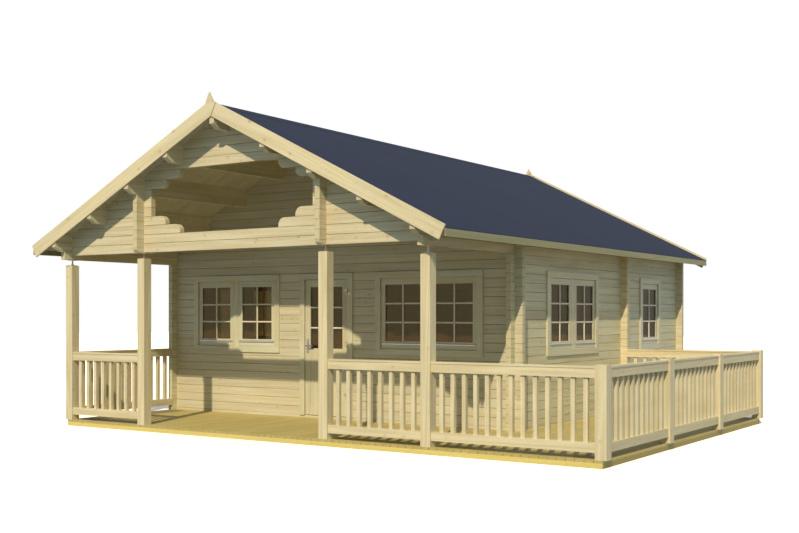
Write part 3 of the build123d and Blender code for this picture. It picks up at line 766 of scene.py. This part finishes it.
class CABIN_OT_windows(bpy.types.Operator):
    """Fit glazing bars and metal drip strips to the windows, and finish frames and glass"""
    bl_idname = "cabin.windows"
    bl_label = "Windows"

    def execute(self, context):
        look = context.scene.cabin_timber
        clear = {"knots": 0.0, "ends": 0, "rough": 0.5}
        wood = timber("planed_pine_joinery", look.joinery, look.pine_deep, "Z", **clear)
        finish_nodes(wood, "door_leaf")
        # Heads and sills lie, stiles stand
        for way, grain in (("front", "X"), ("side", "Y")):
            for part, rail in (("frames", CASING), ("sashes", SASH_FOOT_RAIL)):
                node = "%s_window_%s" % (way, part)
                low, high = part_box(node)
                finish_nodes(timber("planed_pine_" + node, look.joinery, look.pine_deep, grain,
                                    upright=(low.z + rail, high.z - rail), **clear), node)
        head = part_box("door_frame")[1].z - CASING
        finish_nodes(timber("planed_pine_door_frame", look.joinery, look.pine_deep, "X",
                            upright=(0, head), **clear), "door_frame")
        pale = timber("planed_pine_bars", look.bar, look.bar_deep, "Z", **clear)
        front, side = [], []
        for i, glass in enumerate(solids_of("window_glass")):
            size = glass[1] - glass[0]
            if size.x > size.y:
                front.append(glazing_bars(glass, -1, 0, "bars_%d" % i))
            else:
                side.append(glazing_bars(glass, 1 if glass[0].x > 0 else -1, 1,
                                         "bars_%d" % i))
        fit(join(front, "front_glazing_bars"), "cabin", "planed_pine", pale)
        fit(join(side, "side_glazing_bars"), "cabin", "planed_pine", pale)
        metal = drip_metal()
        for name, node, across in (("front_drip_strips", "front_window_sashes", 0),
                                   ("side_drip_strips", "side_window_sashes", 1)):
            strips = [self.drip_strip(sash, across) for sash in solids_of(node)]
            fit(join(strips, name), "cabin", "galvanised_steel", metal)
        finish_nodes(window_glass_finish(), "window_glass", "door_glass")
        return {"FINISHED"}

    @staticmethod
    def drip_strip(sash, across):
        """A folded metal strip over the sash's foot, its top sloping outwards."""
        look = bpy.context.scene.cabin_windows
        above_foot, inset, fall = 0.056, 0.012, 0.012
        low, high = sash
        thin = 1 - across
        outward = -1 if across == 0 else (1 if low.x > 0 else -1)
        face = high[thin] if outward > 0 else low[thin]
        front = face + outward * look.drip_depth
        a, b = low.copy(), high.copy()
        a.z = low.z + above_foot
        b.z = a.z + look.drip_height
        a[across], b[across] = low[across] + inset, high[across] - inset
        a[thin], b[thin] = sorted((face, front))
        strip = block(a, b)
        lower(strip, lambda v: abs(v.co[thin] - front) < 1e-5 and v.co.z > a.z + 1e-4, fall)
        return strip


class CABIN_OT_door(bpy.types.Operator):
    """Fit the door's panel boards and glazing bars, and finish its metalwork"""
    bl_idname = "cabin.door"
    bl_label = "Door"

    def execute(self, context):
        sizes, look = context.scene.cabin_windows, context.scene.cabin_trims
        sunk, back, chamfer = 0.002, 0.012, 0.004
        wood = bpy.data.materials["planed_pine_joinery"]
        bars = glazing_bars(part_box("door_glass"), -1, 0, "door_glazing_bars")
        fit(bars, "door", "planed_pine", bpy.data.materials["planed_pine_bars"])
        low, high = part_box("door_leaf")
        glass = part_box("door_glass")
        left, right = glass[0].x + sizes.rebate, glass[1].x - sizes.rebate
        foot = low.z + DOOR_FOOT_RAIL
        head = glass[0].z + sizes.rebate - DOOR_MID_RAIL
        count = round((right - left) / sizes.panel_board)
        width = (right - left) / count
        boards = []
        for face, outward in ((low.y, 1), (high.y, -1)):
            y0, y1 = sorted((face + outward * sunk, face + outward * back))
            board = block((0, y0, foot), (width, y1, head))
            front = y0 if outward > 0 else y1
            bevel_edges(board, lambda e: runs_along(e, 2)
                        and abs(e.verts[0].co.y - front) < 1e-5, chamfer)
            boards += [copy_to(board, Matrix.Translation((left + i * width, 0, 0)))
                       for i in range(count)]
            bpy.data.objects.remove(board)
        fit(join(boards, "door_panel_boards"), "door", "planed_pine", wood)
        finish_nodes(bright_steel(), "door_handle")
        finish_nodes(zinc("galvanised_steel", look.zinc, look.zinc_pale, 0.7), "post_jacks")
        # Hinges are passivated yellow, so they hardly show on the pine
        finish_nodes(zinc("yellow_passivated_zinc", look.hinge, look.hinge_pale, 0.4),
                     "frame_hinge_pins", "door_hinges")
        return {"FINISHED"}


class CABIN_OT_roofing(bpy.types.Operator):
    """Finish the felt and fold a strip of it over the ridge"""
    bl_idname = "cabin.roofing"
    bl_label = "Roofing"

    def execute(self, context):
        felt = roofing_felt()
        finish_nodes(felt, "roof_felt")
        low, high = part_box("roof_felt")
        half, sunk, proud = 0.15, 0.0005, 0.0025
        cap = block((-half, low.y, RIDGE_Z - sunk), (half, high.y, RIDGE_Z + proud))
        edit(cap, "VERT", lambda v: False)
        bpy.ops.mesh.select_all(action="SELECT")
        bpy.ops.mesh.bisect(plane_co=(0, 0, 0), plane_no=(1, 0, 0))
        bpy.ops.object.mode_set(mode="OBJECT")
        lower(cap, lambda v: abs(v.co.x) > 0.01, half * ROOF_SLOPE)
        cap.name = cap.data.name = "ridge_felt_strip"
        fit(cap, "cabin", "roofing_felt", felt)
        return {"FINISHED"}


def roofing_felt():
    """Mineral-faced bitumen felt: a matt blue-grey with fine grit, and the faint laps of sheets
    a metre wide."""
    material, tree = new_material("mineral_faced_felt")
    colour = linear(bpy.context.scene.cabin_trims.felt)[:3]
    place = object_place(tree)
    # Grit is 1 mm. It is drawn 12 mm coarse to show at all.
    grit = noise(tree, place, 85.0, detail=4.0, roughness=0.7)
    cloud = noise(tree, place, 0.8)
    tone = calc(tree, "MULTIPLY", remap(tree, grit, 0.3, 0.7, 0.86, 1.12),
                remap(tree, cloud, 0.3, 0.7, 0.96, 1.04))
    # Sheets overlap by 100 mm. A lap is a step of 3 mm, drawn 12 mm wide to show at all.
    sheet = calc(tree, "FLOORED_MODULO", parts(tree, down_the_roof(tree, place))[0], 0.9)
    tone = calc(tree, "MULTIPLY", tone, remap(tree, sheet, 0.008, 0.016, 0.93, 1.0))
    principled(tree, {"Base Color": scaled(tree, colour, tone), "Roughness": 0.93,
                      "Specular IOR Level": 0.12, "Normal": bump(tree, grit, 0.15, 0.002)})
    return material


def window_glass_finish():
    """Sealed unit of clear glass: brown, because the rooms behind it are dark timber, with the
    even reflection of the unit's thin metal coating."""
    material, tree = new_material("float_glass_unit")
    colour = linear(bpy.context.scene.cabin_trims.glass)
    # Ripple is a few tenths of a millimetre over a hand's width
    ripple = noise(tree, object_place(tree), 5.0, detail=1.0)
    # Metallic gives the even reflection, and the IOR is far under that of glass, so that panes
    # seen at a slant don't grow pale
    principled(tree, {"Base Color": colour, "Roughness": 0.03, "IOR": 1.05, "Metallic": 0.16,
                      "Transmission Weight": 0.96, "Normal": bump(tree, ripple, 0.05, 0.01)})
    return material


def drip_metal():
    """Anodised aluminium strip: pale grey with a soft sheen."""
    look = bpy.context.scene.cabin_trims
    material, tree = new_material("anodised_aluminium_strip")
    wear = noise(tree, object_place(tree), 30.0, detail=3.0)
    principled(tree, {"Base Color": mix(tree, wear, linear(look.strip), linear(look.strip_pale)),
                      "Metallic": 0.6, "Roughness": remap(tree, wear, 0.0, 1.0, 0.32, 0.48)})
    return material


def bright_steel():
    """Satin stainless steel: brushed lengthways, so its glint is soft."""
    look = bpy.context.scene.cabin_trims
    material, tree = new_material("satin_stainless_steel")
    place = add(tree, "ShaderNodeMapping",
                {0: object_place(tree), "Scale": (60.0, 60.0, 700.0)}).outputs[0]
    brushed = noise(tree, place, 1.0)
    principled(tree, {"Base Color": mix(tree, brushed, linear(look.steel),
                                        linear(look.steel_pale)),
                      "Metallic": 1.0, "Roughness": remap(tree, brushed, 0.0, 1.0, 0.25, 0.42)})
    return material


def zinc(name, dull, bright, metallic):
    """Zinc on steel: dull, with paler spangles."""
    material, tree = new_material(name)
    # Spangles are about 10 mm across
    spangle = add(tree, "ShaderNodeTexVoronoi",
                  {"Vector": object_place(tree), "Scale": 100.0}).outputs["Color"]
    principled(tree, {"Base Color": mix(tree, spangle, linear(dull), linear(bright)),
                      "Metallic": metallic, "Roughness": 0.5})
    return material


class CABIN_OT_studio(bpy.types.Operator):
    """Set up the camera, sun, sky light and pale floor"""
    bl_idname = "cabin.studio"
    bl_label = "Studio"

    def execute(self, context):
        studio = context.scene.cabin_studio
        lens = bpy.data.cameras.new("camera")
        lens.lens = studio.lens
        lens.sensor_width = 36.0
        lens.shift_y = studio.camera_rise
        lens.clip_end = 200.0
        camera = bpy.data.objects.new("camera", lens)
        camera.location = studio.camera_place
        camera.rotation_euler = (pi / 2, 0, studio.camera_turn)
        context.scene.collection.objects.link(camera)
        context.scene.camera = camera

        lamp = bpy.data.lights.new("sun", "SUN")
        lamp.energy = studio.sun_strength
        lamp.angle = radians(0.8)
        lamp.color = linear(studio.sun_colour)[:3]
        sun = bpy.data.objects.new("sun", lamp)
        sun.rotation_euler = Vector(studio.sun_way).to_track_quat("-Z", "Y").to_euler()
        context.scene.collection.objects.link(sun)

        world = bpy.data.worlds.new("studio_sky")
        world.use_nodes = True
        tree = world.node_tree
        tree.nodes.clear()
        white = (1.0, 1.0, 1.0, 1.0)
        colour = mix(tree, self.seen_directly(tree), linear(studio.sky), white)
        background = add(tree, "ShaderNodeBackground", {"Color": colour, "Strength": 1.0})
        add(tree, "ShaderNodeOutputWorld", {"Surface": background.outputs[0]})
        context.scene.world = world

        deselect()
        under_part = -0.002
        bpy.ops.mesh.primitive_grid_add(x_subdivisions=8, y_subdivisions=8, size=120,
                                        location=(0, 0, under_part))
        bpy.ops.object.transform_apply(location=True, rotation=True, scale=True)
        floor = context.object
        floor.name = "studio_floor"
        material, tree = new_material("white_studio_floor")
        # Seen directly, the floor is so pale that sunlight turns it white
        mottle = noise(tree, object_place(tree), 2.0)
        pale = mix(tree, mottle, (1.76, 1.41, 1.23, 1), (1.80, 1.43, 1.25, 1))
        colour = mix(tree, self.seen_directly(tree), linear(studio.floor_glow), pale)
        close_material(tree, add(tree, "ShaderNodeBsdfDiffuse", {"Color": colour}))
        floor.data.materials.append(material)

        context.scene.view_settings.view_transform = "Standard"
        return {"FINISHED"}

    @staticmethod
    def seen_directly(tree):
        """1 for rays from the camera, and for those seen in or through gloss and glass."""
        path = add(tree, "ShaderNodeLightPath").outputs
        seen = calc(tree, "MAXIMUM", path["Is Camera Ray"], path["Is Glossy Ray"])
        return calc(tree, "MAXIMUM", seen, path["Is Transmission Ray"])


class CABIN_PT_looks(bpy.types.Panel):
    """Cabin looks in the sidebar"""
    bl_idname = "CABIN_PT_looks"
    bl_label = "Cabin"
    bl_space_type = "VIEW_3D"
    bl_region_type = "UI"
    bl_category = "Cabin"

    def draw(self, context):
        for step in STEPS:
            self.layout.operator(step.bl_idname)


STEPS = (CABIN_OT_studio, CABIN_OT_log_walls, CABIN_OT_roof_timber, CABIN_OT_posts,
         CABIN_OT_deck, CABIN_OT_windows, CABIN_OT_door, CABIN_OT_roofing)
SETTINGS = {"cabin_timber": CabinTimber, "cabin_trims": CabinTrims, "cabin_deck": CabinDeck,
            "cabin_windows": CabinWindows, "cabin_studio": CabinStudio}


def register():
    for group in (*SETTINGS.values(), *STEPS, CABIN_PT_looks):
        bpy.utils.register_class(group)
    for name, group in SETTINGS.items():
        setattr(bpy.types.Scene, name, bpy.props.PointerProperty(type=group))


def unregister():
    for name in SETTINGS:
        delattr(bpy.types.Scene, name)
    for group in (CABIN_PT_looks, *reversed(STEPS), *SETTINGS.values()):
        bpy.utils.unregister_class(group)


def main():
    register()
    bpy.ops.cabin.studio()
    bpy.ops.cabin.log_walls()
    bpy.ops.cabin.roof_timber()
    bpy.ops.cabin.posts()
    bpy.ops.cabin.deck()
    bpy.ops.cabin.windows()
    bpy.ops.cabin.door()
    bpy.ops.cabin.roofing()


if __name__ == "__main__":
    main()
